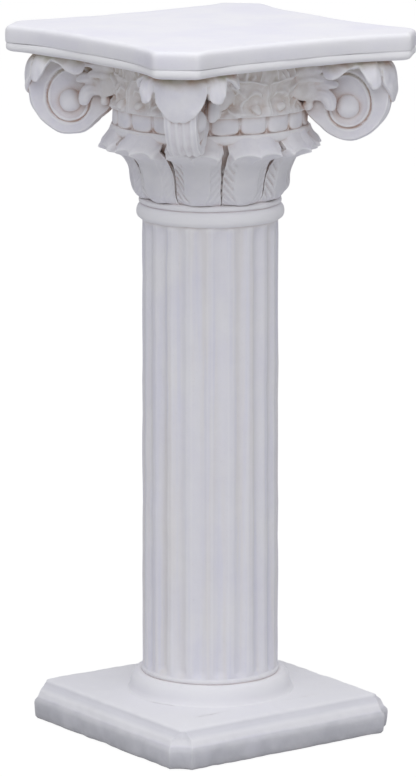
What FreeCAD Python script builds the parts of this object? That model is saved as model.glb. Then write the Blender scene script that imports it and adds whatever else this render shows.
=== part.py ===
"""Pedestal column stand: a fluted column on a square plinth, with a composite capital under a concave abacus.

Millimetres, +Z up. The origin is the middle of the footprint on the floor. The X and Y axes run square to
the sides of the plinth, so the four scrolls of the capital point along the diagonals.
Every piece is cast or cut by itself, stacked on the one below and drawn together by a tie rod.
"""

import FreeCAD, Part
import math
import os

from FreeCAD import Vector

# ---------------------------------------------------------------- driving dimensions
# heights, from the floor up
pad_stand = 1.5            # how far the pads lift the plinth off the floor
plinth_side = 24.5         # upright side of the plinth
plinth_slope = 14.0        # sloping margin above it
plinth_riser = 4.5         # low step up to the plateau
foot_ring_height = 21.5    # torus on the plateau
shaft_height = 520.0
shaft_groove = 1.2         # shadow joint under the shaft's foot fillet
shaft_fillet_height = 5.0  # plain band below the flutes
astragal_height = 17.0
neck_fillet_height = 8.0
bell_height = 82.0         # leaf bell, up to the seam below the eggs
egg_band_height = 20.0
block_height = 57.0        # core between the scrolls, up to the abacus
moulding_height = 10.5
slab_height = 19.5

# plinth, seen from above
plinth_half = 152.3
plinth_clip = 18.0         # corner cut, along each side
plinth_notch = 3.0         # hollow in the middle of each corner cut
plinth_draft = 1.6         # the side leans in towards the floor
plinth_edge = 2.6          # easing of the side's upper edge
margin_width = 13.3        # sloping margin, from the side in to the riser
margin_swell = 0.9         # the margin is slightly rounded
margin_clip = 6.0          # corner cut where the slope meets the riser
riser_draft = 2.0
plateau_clip = 4.0
plateau_notch = 0.4
plateau_edge = 1.4         # easing of the plateau's edge

# column; each ring stands out beyond the one before it
shaft_radius_low = 77.0
shaft_taper = 1.0          # the shaft's radius is this much less at the top
flute_count = 20
flute_depth = 4.6
flute_land = 5.6           # flat left between two flutes
shaft_fillet_proud = 2.5   # plain band at the foot, beyond the shaft
shaft_fillet_edge = 1.0
foot_ring_proud = 11.5     # foot ring, beyond that band
foot_ring_flare = 3.0      # the ring's foot runs out into the plateau
foot_ring_shoulder = 9.0   # how far its top draws in
foot_ring_crown = 4.5      # roundest point of the shoulder, below the ring's top
astragal_proud = 7.0       # beyond the shaft's top
neck_fillet_proud = 4.0
neck_fillet_edge = 2.0

# bell and its leaves
bell_set_in = 6.0          # the bell's foot stands inside the neck fillet, behind the leaves
bell_profile = ((8.0, 0.42), (17.0, 0.67))   # radius beyond its foot, and share of its height
bell_rim_height = 9.5      # plain band above the leaves
bell_rim_soffit = 3.0      # flat under the rim
leaf_count = 10
leaf_first = 45.0          # a leaf stands under the first corner and under the one across from it
leaf_belly = (8.0, 0.14)   # beyond the leaf's foot, and share of the bell's height
leaf_waist = (11.5, 0.38)
leaf_hollow = (20.5, 0.60)
leaf_overhang = 13.5       # the tip of the lip, beyond the bell's rim
leaf_tip_drop = 20.0       # from the seam down to the nose of the lip
leaf_tuck = 1.5            # the leaf's top is tucked in behind the rim
leaf_lip = 8.5             # thickness of the curled lip
leaf_lip_round = 3.5
leaf_bite_lift = 0.35      # where the lip is drawn back it is also this much higher
leaf_edge_setback = 7.0    # the sides of a leaf lie deeper than its middle
leaf_panel_share = 0.36    # the smooth middle of a leaf, as a share of its width
leaf_lobes = ((0.97, 8.0), (0.80, 0.0), (0.42, 3.2))   # share of the half width, and how far the lip is back
leaf_gap_foot = 0.6        # half width of the gap between two leaves, at their feet
leaf_gap_lip = 5.0         # and at the lip
leaf_gap_flare = 1.3       # and above it, times the gap at the lip

# egg band and block
capital_flare = 26.0       # neck of the block, beyond the bell's foot
egg_band_depth = 5.0       # ring behind the eggs, round the neck of the block
egg_count = 20
egg_radius = 18.0
egg_proud = 6.0            # how far an egg stands out of the band
egg_facets = 12
egg_profile = ((0.72, 0.0), (0.92, 0.2), (1.0, 0.55), (0.96, 1.0))   # shares of its radius and of the height
dart_width = 4.0
dart_proud = 3.0
block_step = 3.5           # the block above the band, beyond its neck
block_flare = 7.5          # and its top, beyond its foot

# corner scrolls, in the diagonal plane; angles are about the eye, 0 pointing outwards
eye_inset = 70.7           # from the slab's corner in to the eye
eye_drop = 54.5            # from the underside of the abacus down to the eye
scroll_radius = 36.8       # round stretch under the eye
scroll_bottom_from = -40.0
scroll_bottom_to = -145.0
scroll_root_angle = -170.0
scroll_root_radius = 45.7
scroll_root_dip = 1.0
scroll_mid_angle = 11.5
scroll_mid_radius = 47.0
scroll_top_angle = 47.5
scroll_top_radius = 65.0
scroll_thickness = 34.0
recess_radius = 27.0
recess_depth = 8.0
ring_radius = 22.0         # inner turn of the scroll, inside the recess
ring_width = 4.5
ring_height = 3.0
ball_radius = 13.8
ball_sink = 2.0            # how far the ball's centre lies below the recess floor

# acanthus leaf over each scroll; reaches are from the eye outwards, drops from the abacus down
drape_thickness = 4.5
drape_half_width = 28.5
drape_nose_angle = 7.0     # where the leaf's nose ends on the scroll, about the eye
drape_crest_angle = 30.0
drape_crest = 6.0          # swell of the leaf's back over the scroll
drape_start = -16.0        # where the leaf leaves the block
drape_lobes = ((-9.0, 18.7, 7.0, 15.5), (21.0, 33.7, 31.0, 27.5))   # tip reach and drop, then the notch's
drape_spread = 46.0        # side lobes, sideways from the scroll's middle plane
drape_shoulder = 0.84      # width of the leaf between its lobes, as a share of that
drape_hang = 25.0          # where the lobes leave the smooth middle, seen from the corner
drape_cheek = 0.74         # roundness of the nose, seen from the corner

# spray on each face, between the scrolls; heights are from the top of the egg band
petal_height = 35.0
petal_profile = ((0.55, 0.0), (1.0, 0.4), (0.8, 0.72), (0.0, 1.0))   # shares of its radius and of its height
petal_radius = 7.5
petal_stand = 2.0          # how far the petal's middle stands off the block
berry_radius = 6.0
berry_spread = 15.5        # to each side of the petal
berry_height = 9.0
berry_bands = (-60, -20, 20, 60)
curl_radius = 14.0         # strand that curls round a berry
curl_width = 4.0
curl_angles = (165.0, 60.0, -30.0)   # its start, crest and end about the berry
wing_span = 52.0           # sideways from the face's middle
wing_rise = 30.0
wing_width = 10.0
wing_sag = 3.0
spray_proud = 4.5
spray_ground = 1.5         # thin ground that holds each berry in its curl

# abacus, seen from above
slab_half = 178.0
slab_clip = 35.4
slab_sagitta = 16.0        # hollow of each side
slab_flare = 3.5           # how late the hollow turns out towards the corner
side_shares = (-1, -0.8, -0.5, 0, 0.5, 0.8, 1)
slab_edge = 4.5            # rounding of the upper edge
slab_arris = 1.4           # easing of the lower edge
moulding_setback = 1.2
moulding_profile = ((4.5, 0.0), (1.2, 0.2), (0.0, 0.5), (1.4, 0.78), (3.6, 1.0))   # set back, share of height

# inside
shaft_bore_radius = 38.0
spigot_length = 20.0
rod_radius = 5.0
rod_hole_radius = 6.0
washer_radius = 15.0
washer_thickness = 2.5
nut_across_flats = 17.0
nut_height = 8.0
rod_end = 3.0              # the rod stands out of each nut
pocket_radius = 20.0
pocket_depth = 16.0
pad_radius = 15.0
pad_recess = 1.5
pad_inset = 34.0           # from the plinth's side to the middle of a pad

# clearances
glue_gap = 0.3             # between a leaf or scroll and what it is bedded on
overrun = 1.0              # a cut runs past the face that it opens
spigot_gap = 0.5
thread_gap = 0.15

# ---------------------------------------------------------------- levels that follow
z_plinth = pad_stand
z_slope = z_plinth + plinth_side
z_riser = z_slope + plinth_slope
z_plateau = z_riser + plinth_riser
z_shaft = z_plateau + foot_ring_height
z_flutes = z_shaft + shaft_groove + shaft_fillet_height
z_astragal = z_shaft + shaft_height
z_neck_fillet = z_astragal + astragal_height
z_bell = z_neck_fillet + neck_fillet_height
z_seam = z_bell + bell_height
z_block = z_seam + egg_band_height
z_moulding = z_block + block_height
z_slab = z_moulding + moulding_height
z_top = z_slab + slab_height
z_rim = z_seam - bell_rim_height
z_eye = z_moulding - eye_drop

# ---------------------------------------------------------------- radii and reaches that follow
margin_half = plinth_half - margin_width
plateau_half = margin_half - riser_draft
shaft_radius_high = shaft_radius_low - shaft_taper
shaft_fillet_radius = shaft_radius_low + shaft_fillet_proud
foot_ring_radius = shaft_fillet_radius + foot_ring_proud
astragal_radius = shaft_radius_high + astragal_proud
neck_fillet_radius = shaft_radius_high + neck_fillet_proud
leaf_foot_radius = neck_fillet_radius
bell_foot_radius = leaf_foot_radius - bell_set_in
block_neck_radius = bell_foot_radius + capital_flare
egg_band_radius = block_neck_radius + egg_band_depth
bell_rim_radius = egg_band_radius + egg_proud
leaf_tip_radius = bell_rim_radius + leaf_overhang
block_low_radius = block_neck_radius + block_step
block_high_radius = block_low_radius + block_flare
moulding_half = slab_half - moulding_setback
slab_corner = (2 * slab_half - slab_clip) / math.sqrt(2)
eye_reach = slab_corner - eye_inset


# ---------------------------------------------------------------- helpers
def upright(a, b):
    """A point in the plane through the axis: a outwards along +X, b up."""
    return Vector(a, 0, b)


def outline(start, steps, place=upright):
    """A face inside a closed line. A step is (a, b) for a straight side, or (ma, mb, a, b) for an arc."""
    edges = []
    here = place(*start)
    for step in steps + [start]:
        end = place(*step[-2:])
        if len(step) == 2:
            edges.append(Part.LineSegment(here, end).toShape())
        else:
            edges.append(Part.Arc(here, place(*step[:2]), end).toShape())
        here = end
    return Part.Face(Part.Wire(edges))


def turned(start, steps):
    """A solid of revolution about the column's axis."""
    return outline(start, steps).revolve(Vector(0, 0, 0), Vector(0, 0, 1), 360)


def post(radius, low, high, x=0.0, y=0.0):
    """An upright cylinder between two levels."""
    return Part.makeCylinder(radius, high - low, Vector(x, y, low))


def around(shape, degrees):
    """A copy turned about the column's axis."""
    copy = shape.copy()
    copy.rotate(Vector(0, 0, 0), Vector(0, 0, 1), degrees)
    return copy


def polar(radius, degrees, level=0.0):
    a = math.radians(degrees)
    return Vector(radius * math.cos(a), radius * math.sin(a), level)


def joined(shapes):
    """One solid from several that overlap, without the seams between them."""
    return shapes[0].multiFuse(shapes[1:]).removeSplitter()


made = {}


def keep(name, shape):
    """Checks a finished piece and writes it to its own file."""
    assert shape.isValid(), name
    assert shape.Solids, name
    made[name] = shape
    shape.exportStep(os.path.join("parts", name + ".step"))


# ---------------------------------------------------------------- plinth and its pads
def notched_square(half, clip, notch, level):
    """A square whose corners are cut off in a shallow hollow."""
    edges = []
    middle = half - clip / 2 - notch / math.sqrt(2)
    for turn in range(4):
        a = FreeCAD.Rotation(Vector(0, 0, 1), 90 * turn)
        corner = [Vector(half, -half + clip, level), Vector(half, half - clip, level)]
        arc = [Vector(middle, middle, level), Vector(half - clip, half, level)]
        p, q, m, r = [a.multVec(v) for v in corner + arc]
        edges.append(Part.LineSegment(p, q).toShape())
        edges.append(Part.Arc(q, m, r).toShape())
    return Part.Wire(edges)


def pad_places():
    reach = plinth_half - pad_inset
    return [(sx * reach, sy * reach) for sx in (-1, 1) for sy in (-1, 1)]


def make_plinth():
    """A square plinth with a sloping margin, a low plateau and a spigot for the column."""
    margin_middle = (plinth_half + margin_half) / 2 + margin_swell
    sections = [
        notched_square(plinth_half - plinth_draft, plinth_clip, plinth_notch, z_plinth),
        notched_square(plinth_half, plinth_clip, plinth_notch, z_slope - plinth_edge),
        notched_square(plinth_half - plinth_edge, plinth_clip, plinth_notch, z_slope + margin_swell),
        notched_square(margin_middle, plinth_clip, plinth_notch, (z_slope + z_riser) / 2 + margin_swell),
        notched_square(margin_half, margin_clip, plateau_notch, z_riser),
        notched_square(plateau_half, plateau_clip, plateau_notch, z_plateau - plateau_edge),
        notched_square(plateau_half - plateau_edge, plateau_clip, plateau_notch, z_plateau),
    ]
    spigot_top = z_shaft + spigot_length
    spigot = post(shaft_bore_radius - spigot_gap, z_plateau - overrun, spigot_top)
    plinth = Part.makeLoft(sections, True, True).fuse(spigot)
    plinth = plinth.cut(post(rod_hole_radius, z_plinth - overrun, spigot_top + overrun))
    plinth = plinth.cut(post(pocket_radius, z_plinth - overrun, z_plinth + pocket_depth))
    for x, y in pad_places():
        plinth = plinth.cut(post(pad_radius + glue_gap, z_plinth - overrun, z_plinth + pad_recess, x, y))
    return plinth


def make_pads():
    return Part.makeCompound([post(pad_radius, 0, z_plinth + pad_recess, x, y) for x, y in pad_places()])


# ---------------------------------------------------------------- column
def make_foot_ring():
    """A low soft torus with a flared foot, slipped over the plinth's spigot."""
    flare = foot_ring_radius + foot_ring_flare
    shoulder = foot_ring_radius - foot_ring_shoulder
    crown = foot_ring_radius - foot_ring_shoulder / 4
    return turned(
        (shaft_bore_radius, z_plateau),
        [
            (flare, z_plateau),
            (foot_ring_radius, z_plateau + 2 * foot_ring_flare),
            (crown, z_shaft - foot_ring_crown, shoulder, z_shaft),
            (shaft_bore_radius, z_shaft),
        ],
    )


def fluted_outline(radius, level):
    """The shaft's outline: narrow lands with a hollow flute between each pair."""
    edges = []
    pitch = 360.0 / flute_count
    half_land = math.degrees(flute_land / 2 / radius)
    for i in range(flute_count):
        start = polar(radius, i * pitch - half_land, level)
        land_end = polar(radius, i * pitch + half_land, level)
        bottom = polar(radius - flute_depth, (i + 0.5) * pitch, level)
        flute_end = polar(radius, (i + 1) * pitch - half_land, level)
        edges.append(Part.LineSegment(start, land_end).toShape())
        edges.append(Part.Arc(land_end, bottom, flute_end).toShape())
    return Part.Wire(edges)


def make_shaft():
    """The fluted shaft on its plain foot band, bored through for the rod and the two spigots."""
    ends = [fluted_outline(shaft_radius_low, z_flutes), fluted_outline(shaft_radius_high, z_astragal)]
    groove = shaft_radius_low - flute_depth
    foot = turned(
        (0, z_shaft),
        [
            (groove, z_shaft),
            (groove, z_shaft + shaft_groove),
            (shaft_fillet_radius, z_shaft + shaft_groove),
            (shaft_fillet_radius, z_flutes - shaft_fillet_edge),
            (shaft_fillet_radius - shaft_fillet_edge, z_flutes),
            (0, z_flutes),
        ],
    )
    shaft = joined([Part.makeLoft(ends, True, True), foot])
    return shaft.cut(post(shaft_bore_radius, z_shaft - overrun, z_astragal + overrun))


def make_neck_ring():
    """The astragal, a round ring with a plain fillet on it."""
    middle = (z_astragal + z_neck_fillet) / 2
    flat = astragal_radius - astragal_height / 2
    return turned(
        (shaft_bore_radius, z_astragal),
        [
            (flat, z_astragal),
            (astragal_radius, middle, flat, z_neck_fillet),
            (neck_fillet_radius, z_neck_fillet),
            (neck_fillet_radius, z_bell - neck_fillet_edge),
            (neck_fillet_radius - neck_fillet_edge, z_bell),
            (shaft_bore_radius, z_bell),
        ],
    )


# ---------------------------------------------------------------- leaf bell
def bell_blank(grown):
    """The bell behind the leaves, made larger all round by a clearance."""
    foot = bell_foot_radius + grown
    rim = bell_rim_radius + grown
    flanks = [(foot + out, z_bell + share * bell_height) for out, share in bell_profile]
    return turned(
        (0, z_bell - grown),
        [(foot, z_bell - grown)]
        + flanks
        + [(rim - bell_rim_soffit, z_rim - grown), (rim, z_rim - grown), (rim, z_seam), (0, z_seam)],
    )


def make_bell():
    spigot_end = z_astragal - spigot_length
    spigot = post(shaft_bore_radius - spigot_gap, spigot_end, z_bell + overrun)
    bell = joined([bell_blank(0), spigot])
    return bell.cut(post(rod_hole_radius, spigot_end - overrun, z_seam + overrun))


def leaf_section(share, bite):
    """One upright slice of a leaf: belly, waist, hollow and lip.

    share runs from -1 at one side of the leaf to 1 at the other, and bite draws the lip back between lobes.
    """
    angle = share * 180.0 / leaf_count
    back = leaf_edge_setback * max(0.0, abs(share) - leaf_panel_share)
    nose = z_seam - leaf_tip_drop + bite * leaf_bite_lift
    tip = leaf_tip_radius - bite
    low = z_bell + glue_gap
    high = z_rim + leaf_tuck

    def at(radius, level):
        return polar(radius, angle, level)

    def on_leaf(place, set_back):
        return at(leaf_foot_radius + place[0] - set_back, z_bell + place[1] * bell_height)

    foot = at(leaf_foot_radius, low)
    waist = on_leaf(leaf_waist, back)
    under_lip = at(tip - leaf_lip_round, nose - leaf_lip / 2)
    over_lip = at(tip - leaf_lip_round, nose + leaf_lip / 2)
    belly = Part.Arc(foot, on_leaf(leaf_belly, back / 3), waist)
    hollow = Part.Arc(waist, on_leaf(leaf_hollow, back), under_lip)
    corners = [under_lip, at(tip, nose), over_lip]
    corners += [at(bell_rim_radius, high), at(shaft_bore_radius, high), at(shaft_bore_radius, low)]
    sides = [Part.LineSegment(p, q).toShape() for p, q in zip(corners, corners[1:] + [foot])]
    return Part.Wire([belly.toShape(), hollow.toShape()] + sides)


def leaf_gap():
    """The wedge between two leaves: narrow at their feet, wider at the lips. It is centred on +X."""
    lip = leaf_gap_lip
    top = lip * leaf_gap_flare
    z_lip = z_rim - leaf_tip_drop / 2
    x = shaft_bore_radius
    side = [(leaf_gap_foot, z_bell - overrun), (lip, z_lip), (top, z_seam)]
    corners = [Vector(x, y, z) for y, z in side]
    corners += [Vector(x, -y, z) for y, z in reversed(side)]
    wedge = Part.Face(Part.makePolygon(corners + corners[:1]))
    return wedge.extrude(Vector(leaf_tip_radius, 0, 0))


def make_leaf():
    """A broad leaf on the bell, its tip curled out in a lip of three lobes. It is centred on +X."""
    slices = [leaf_section(-share, bite) for share, bite in leaf_lobes]
    slices.append(leaf_section(0, 0))
    slices += [leaf_section(share, bite) for share, bite in reversed(leaf_lobes)]
    leaf = Part.makeLoft(slices, True, True).cut(bell_blank(glue_gap))
    for side in (-1, 1):
        leaf = leaf.cut(around(leaf_gap(), side * 180.0 / leaf_count))
    return leaf


# ---------------------------------------------------------------- egg band and block
def make_egg_band():
    """A ring of eggs with a dart between each pair. A dart stands in the middle of each face."""
    bore = block_neck_radius + glue_gap
    ring = post(egg_band_radius, z_seam, z_block)
    pitch = 360.0 / egg_count
    centre = egg_band_radius + egg_proud - egg_radius
    rings = []
    for share, rise in egg_profile:
        level = z_seam + rise * egg_band_height
        turns = [(i + 0.5) * 360.0 / egg_facets for i in range(egg_facets)]
        corners = [polar(share * egg_radius, turn, level) for turn in turns]
        rings.append(Part.makePolygon(corners + corners[:1]))
    egg = Part.makeLoft(rings, True, True)
    egg.translate(Vector(centre, 0, 0))
    sides = [Vector(bore, y, z_seam) for y in (dart_width / 2, -dart_width / 2)]
    edge = Vector(egg_band_radius + dart_proud, 0, z_seam)
    dart = Part.Face(Part.makePolygon([sides[0], edge, sides[1], sides[0]]))
    dart = dart.extrude(Vector(0, 0, egg_band_height))
    pieces = [around(dart, i * pitch) for i in range(egg_count)]
    pieces += [around(egg, (i + 0.5) * pitch) for i in range(egg_count)]
    return ring.multiFuse(pieces).cut(post(bore, z_seam - overrun, z_block + overrun))


def block_blank(grown):
    """The flaring block that the scrolls and sprays are bedded on."""
    return turned(
        (0, z_seam),
        [
            (block_neck_radius + grown, z_seam),
            (block_neck_radius + grown, z_block),
            (block_low_radius + grown, z_block),
            (block_high_radius + grown, z_moulding),
            (0, z_moulding),
        ],
    )


def make_block():
    block = block_blank(0).cut(post(rod_hole_radius, z_seam - overrun, z_moulding + overrun))
    return block.cut(post(pocket_radius, z_moulding - pocket_depth, z_moulding + overrun))


# ---------------------------------------------------------------- corner scrolls
def about_eye(radius, degrees):
    a = math.radians(degrees)
    return (eye_reach + radius * math.cos(a), z_eye + radius * math.sin(a))


def scroll_outline(grown):
    """The scroll seen square on, in the plane of +X and +Z. Its root runs far in and is trimmed later."""
    top = z_moulding + grown
    low = scroll_radius + grown
    half_way = (scroll_bottom_to + scroll_root_angle) / 2
    root_mid = (scroll_radius + scroll_root_radius) / 2 - scroll_root_dip
    start = about_eye(scroll_root_radius + grown, scroll_root_angle)
    crown = about_eye(scroll_top_radius + grown, scroll_top_angle)
    return outline(
        start,
        [
            about_eye(root_mid + grown, half_way) + about_eye(low, scroll_bottom_to),
            about_eye(low, -90.0) + about_eye(low, scroll_bottom_from),
            about_eye(scroll_mid_radius + grown, scroll_mid_angle) + crown,
            (crown[0], top),
            (shaft_bore_radius, top),
            (shaft_bore_radius, start[1]),
        ],
    )


def scroll_blank(grown):
    half = scroll_thickness / 2 + grown
    face = scroll_outline(grown)
    face.translate(Vector(0, -half, 0))
    return face.extrude(Vector(0, 2 * half, 0))


def capital_clearance():
    """What a scroll, a leaf or a spray keeps clear of: the block, the eggs, the bell's rim and the lips."""
    band = post(bell_rim_radius + glue_gap, z_rim - glue_gap, z_block + glue_gap)
    nose = z_seam - leaf_tip_drop + leaf_lip / 2 + glue_gap
    lips = turned(
        (0, z_bell),
        [(leaf_tip_radius + glue_gap, z_bell), (leaf_tip_radius + glue_gap, nose), (0, z_rim)],
    )
    return joined([block_blank(glue_gap), band, lips])


def make_scroll():
    """A scroll with a sunk eye, a ball and an inner turn on both sides."""
    scroll = scroll_blank(0)
    half = scroll_thickness / 2
    for side in (-1, 1):
        out = Vector(0, side, 0)
        floor = Vector(eye_reach, side * (half - recess_depth), z_eye)
        foot = floor - out * overrun
        scroll = scroll.cut(Part.makeCylinder(recess_radius, recess_depth + overrun, floor, out))
        turn = Part.makeCylinder(ring_radius, ring_height + overrun, foot, out)
        turn = turn.cut(Part.makeCylinder(ring_radius - ring_width, ring_height + overrun, foot, out))
        ball = Part.makeSphere(ball_radius, floor - out * ball_sink)
        scroll = scroll.multiFuse([turn, ball])
    return scroll.cut(capital_clearance())


# ---------------------------------------------------------------- leaf over each scroll
def make_drape():
    """An acanthus leaf laid over a scroll: a smooth back with a round nose, and lobes hanging down its sides.

    It is what three outlines have in common: from the side, from the corner and from above.
    """
    top = z_moulding
    crown = about_eye(scroll_top_radius + drape_thickness, scroll_top_angle)
    nose = about_eye(scroll_mid_radius + drape_thickness, drape_nose_angle)
    crest = about_eye(scroll_mid_radius + drape_thickness + drape_crest, drape_crest_angle)
    start = eye_reach + drape_start
    lobes = [
        (eye_reach + tip, top - drop, eye_reach + notch, top - notch_drop)
        for tip, drop, notch, notch_drop in drape_lobes
    ]
    nose_back = (nose[0] - 2 * drape_thickness, nose[1])
    cheek = nose[1] + 2 * drape_thickness
    side = outline(
        (start, top),
        lobes
        + [(lobes[-1][2] + 2 * drape_thickness, cheek) + nose_back]
        + [nose, crest + crown, (crown[0], top)],
    )
    side.translate(Vector(0, -drape_spread, 0))
    hang = top - drape_hang
    lobe_mid = (drape_spread * drape_shoulder, top - drape_hang / 2)
    front = outline(
        (-drape_spread, top),
        [
            (-lobe_mid[0], lobe_mid[1], -drape_half_width, hang),
            (-drape_half_width * drape_cheek, cheek, 0, nose[1]),
            (drape_half_width * drape_cheek, cheek, drape_half_width, hang),
            lobe_mid + (drape_spread, top),
        ],
        lambda v, z: Vector(0, v, z),
    )
    root = scroll_thickness / 2
    beyond = crown[0] + 2 * drape_thickness
    right = [
        (lobes[0][0], drape_spread, lobes[0][2], drape_spread * drape_shoulder),
        (lobes[1][0], drape_spread * drape_shoulder, lobes[1][2], drape_half_width),
    ]
    left = [
        (right[1][0], -right[1][1], right[0][2], -right[0][3]),
        (right[0][0], -right[0][1], start, -root),
    ]
    plan = outline(
        (start, root),
        right + [(beyond, drape_half_width), (beyond, -drape_half_width), (right[1][2], -right[1][3])] + left,
        lambda u, v: Vector(u, v, nose[1] - overrun),
    )
    drape = side.extrude(Vector(0, 2 * drape_spread, 0))
    drape = drape.common(front.extrude(Vector(beyond, 0, 0)))
    drape = drape.common(plan.extrude(Vector(0, 0, top - nose[1] + overrun)))
    return drape.cut(scroll_blank(glue_gap)).cut(capital_clearance())


# ---------------------------------------------------------------- spray on each face
def turned_here(rows, x, y):
    """A small solid turned about its own upright line. rows are (radius, level), from foot to tip."""
    steps = rows if rows[-1][0] == 0 else rows + [(0, rows[-1][1])]
    body = outline((0, rows[0][1]), steps).revolve(Vector(0, 0, 0), Vector(0, 0, 1), 360)
    body.translate(Vector(x, y, 0))
    return body


def relief(start, steps, proud):
    """A raised form on the block's side, its face bent with the block. The outline is (sideways, level)."""
    flat = outline(start, steps, lambda a, b: Vector(0, a, b)).extrude(Vector(eye_reach, 0, 0))
    return flat.common(block_blank(glue_gap + proud))


def make_spray():
    """A petal between two berries, with a strand curled round each berry and a wing rising beyond it.

    It is centred on +X.
    """
    low = z_block + glue_gap
    radius = block_low_radius + petal_stand
    rows = [(share * petal_radius, low + rise * petal_height) for share, rise in petal_profile]
    pieces = [turned_here(rows, radius, 0)]
    middle = low + berry_height
    for side in (-1, 1):
        place = polar(radius, math.degrees(side * berry_spread / radius))
        turns = [math.radians(a) for a in berry_bands]
        rows = [(berry_radius * math.cos(a), middle + berry_radius * math.sin(a)) for a in turns]
        pieces.append(turned_here(rows, place.x, place.y))

        def about_berry(r, degrees):
            a = math.radians(degrees)
            return (side * (berry_spread - r * math.cos(a)), middle + r * math.sin(a))

        inner = curl_radius - curl_width
        ground = inner + curl_width / 2
        lower = about_berry(ground, -90) + about_berry(ground, 0)
        upper = about_berry(ground, 90) + about_berry(ground, 175)
        pieces.append(relief(about_berry(ground, 180), [lower, upper], spray_ground))
        first, crest, last = curl_angles
        outside = about_berry(curl_radius, crest) + about_berry(curl_radius, last)
        inside = about_berry(inner, crest) + about_berry(inner, first)
        strand = [outside, about_berry(inner, last), inside]
        pieces.append(relief(about_berry(curl_radius, first), strand, spray_proud))
        root = about_berry(inner, first)
        tip = (side * wing_span, low + wing_rise)
        under = ((root[0] + tip[0]) / 2, (root[1] + tip[1]) / 2 - wing_sag)
        back = [(x, z + wing_width) for x, z in (tip, under, root)]
        pieces.append(relief(root, [under + tip, back[0], back[1] + back[2]], spray_proud))
    return joined(pieces).cut(capital_clearance())


# ---------------------------------------------------------------- abacus
def abacus_outline(half, level):
    """A square with hollow sides and clipped corners."""
    edges = []
    end = half - slab_clip
    for turn in range(4):
        a = FreeCAD.Rotation(Vector(0, 0, 1), 90 * turn)
        hollows = [half - slab_sagitta * (1 - abs(s) ** slab_flare) for s in side_shares]
        points = [a.multVec(Vector(x, s * end, level)) for x, s in zip(hollows, side_shares)]
        side = Part.BSplineCurve()
        side.interpolate(points)
        edges.append(side.toShape())
        edges.append(Part.LineSegment(points[-1], a.multVec(Vector(end, half, level))).toShape())
    return Part.Wire(edges)


def stacked(levels):
    """A moulded board from (half width, level) pairs."""
    return Part.makeLoft([abacus_outline(half, level) for half, level in levels], True, True)


def make_moulding():
    rows = [(moulding_half - back, z_moulding + share * moulding_height) for back, share in moulding_profile]
    return stacked(rows)


def make_slab():
    round_over = slab_edge * 0.3
    return stacked(
        [
            (slab_half - slab_arris, z_slab),
            (slab_half, z_slab + slab_arris),
            (slab_half, z_top - slab_edge),
            (slab_half - round_over, z_top - round_over),
            (slab_half - slab_edge, z_top),
        ]
    )


# ---------------------------------------------------------------- tie rod, washers and nuts
def nut(low):
    """A plain hexagon nut with its lower face at a level."""
    corners = [polar(nut_across_flats / math.sqrt(3), 60 * i, low) for i in range(7)]
    blank = Part.Face(Part.makePolygon(corners)).extrude(Vector(0, 0, nut_height))
    return blank.cut(post(rod_radius + thread_gap, low - overrun, low + nut_height + overrun))


def washer(low):
    top = low + washer_thickness
    return post(washer_radius, low, top).cut(post(rod_radius + thread_gap, low - overrun, top + overrun))


os.makedirs("parts", exist_ok=True)

low_washer = z_plinth + pocket_depth - washer_thickness
high_washer = z_moulding - pocket_depth
keep("plinth", make_plinth())
keep("foot_pads", make_pads())
keep("foot_ring", make_foot_ring())
keep("fluted_shaft", make_shaft())
keep("neck_ring", make_neck_ring())
keep("leaf_bell", make_bell())

leaf = make_leaf()
for i in range(leaf_count):
    keep(f"bell_leaf_{i + 1}", around(leaf, leaf_first + i * 360.0 / leaf_count))

keep("egg_band", make_egg_band())
keep("capital_block", make_block())

scroll = make_scroll()
drape = make_drape()
spray = make_spray()
for i in range(4):
    keep(f"corner_scroll_{i + 1}", around(scroll, 45 + 90 * i))
    keep(f"scroll_leaf_{i + 1}", around(drape, 45 + 90 * i))
    keep(f"face_spray_{i + 1}", around(spray, 90 * i))

keep("abacus_moulding", make_moulding())
keep("abacus_slab", make_slab())
rod_foot = low_washer - nut_height - rod_end
rod_top = high_washer + washer_thickness + nut_height + rod_end
keep("tie_rod", post(rod_radius, rod_foot, rod_top))
keep("tie_washers", Part.makeCompound([washer(low_washer), washer(high_washer)]))
keep("tie_nuts", Part.makeCompound([nut(low_washer - nut_height), nut(high_washer + washer_thickness)]))

for name, shape in made.items():
    print(f"{name:18s} solids {len(shape.Solids)}  volume {shape.Volume / 1000:9.1f} cm3")
print(f"pieces {len(made)}, height {z_top:.1f} mm, width {2 * slab_half:.1f} mm")
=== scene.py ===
# %% [markdown]
# # A cast plaster column pedestal
#
# The real thing is a stack of castings: a square plinth, a fluted shaft, a composite capital with leaves,
# eggs and corner scrolls, and a square top slab with hollow sides. It is matt and nearly white, and a thin
# brown and green wash is left in its hollows. We make each casting as a piece of its own, over the CAD
# model, which gives every size and place.

# %% The frame
import math

import bpy
import numpy as np
from mathutils import Matrix, Vector


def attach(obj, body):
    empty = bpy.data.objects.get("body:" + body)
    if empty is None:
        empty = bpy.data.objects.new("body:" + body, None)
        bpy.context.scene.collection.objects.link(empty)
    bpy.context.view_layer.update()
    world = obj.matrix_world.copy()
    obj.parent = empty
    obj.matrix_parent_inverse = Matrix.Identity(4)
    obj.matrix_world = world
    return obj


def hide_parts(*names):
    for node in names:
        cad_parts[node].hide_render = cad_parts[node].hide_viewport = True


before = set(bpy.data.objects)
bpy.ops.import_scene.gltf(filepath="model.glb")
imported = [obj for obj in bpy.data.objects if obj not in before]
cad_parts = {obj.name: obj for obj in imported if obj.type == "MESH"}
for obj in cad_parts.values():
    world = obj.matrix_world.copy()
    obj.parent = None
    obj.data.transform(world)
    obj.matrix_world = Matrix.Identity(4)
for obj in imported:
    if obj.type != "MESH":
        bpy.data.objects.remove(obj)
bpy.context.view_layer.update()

MM = 0.001

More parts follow.
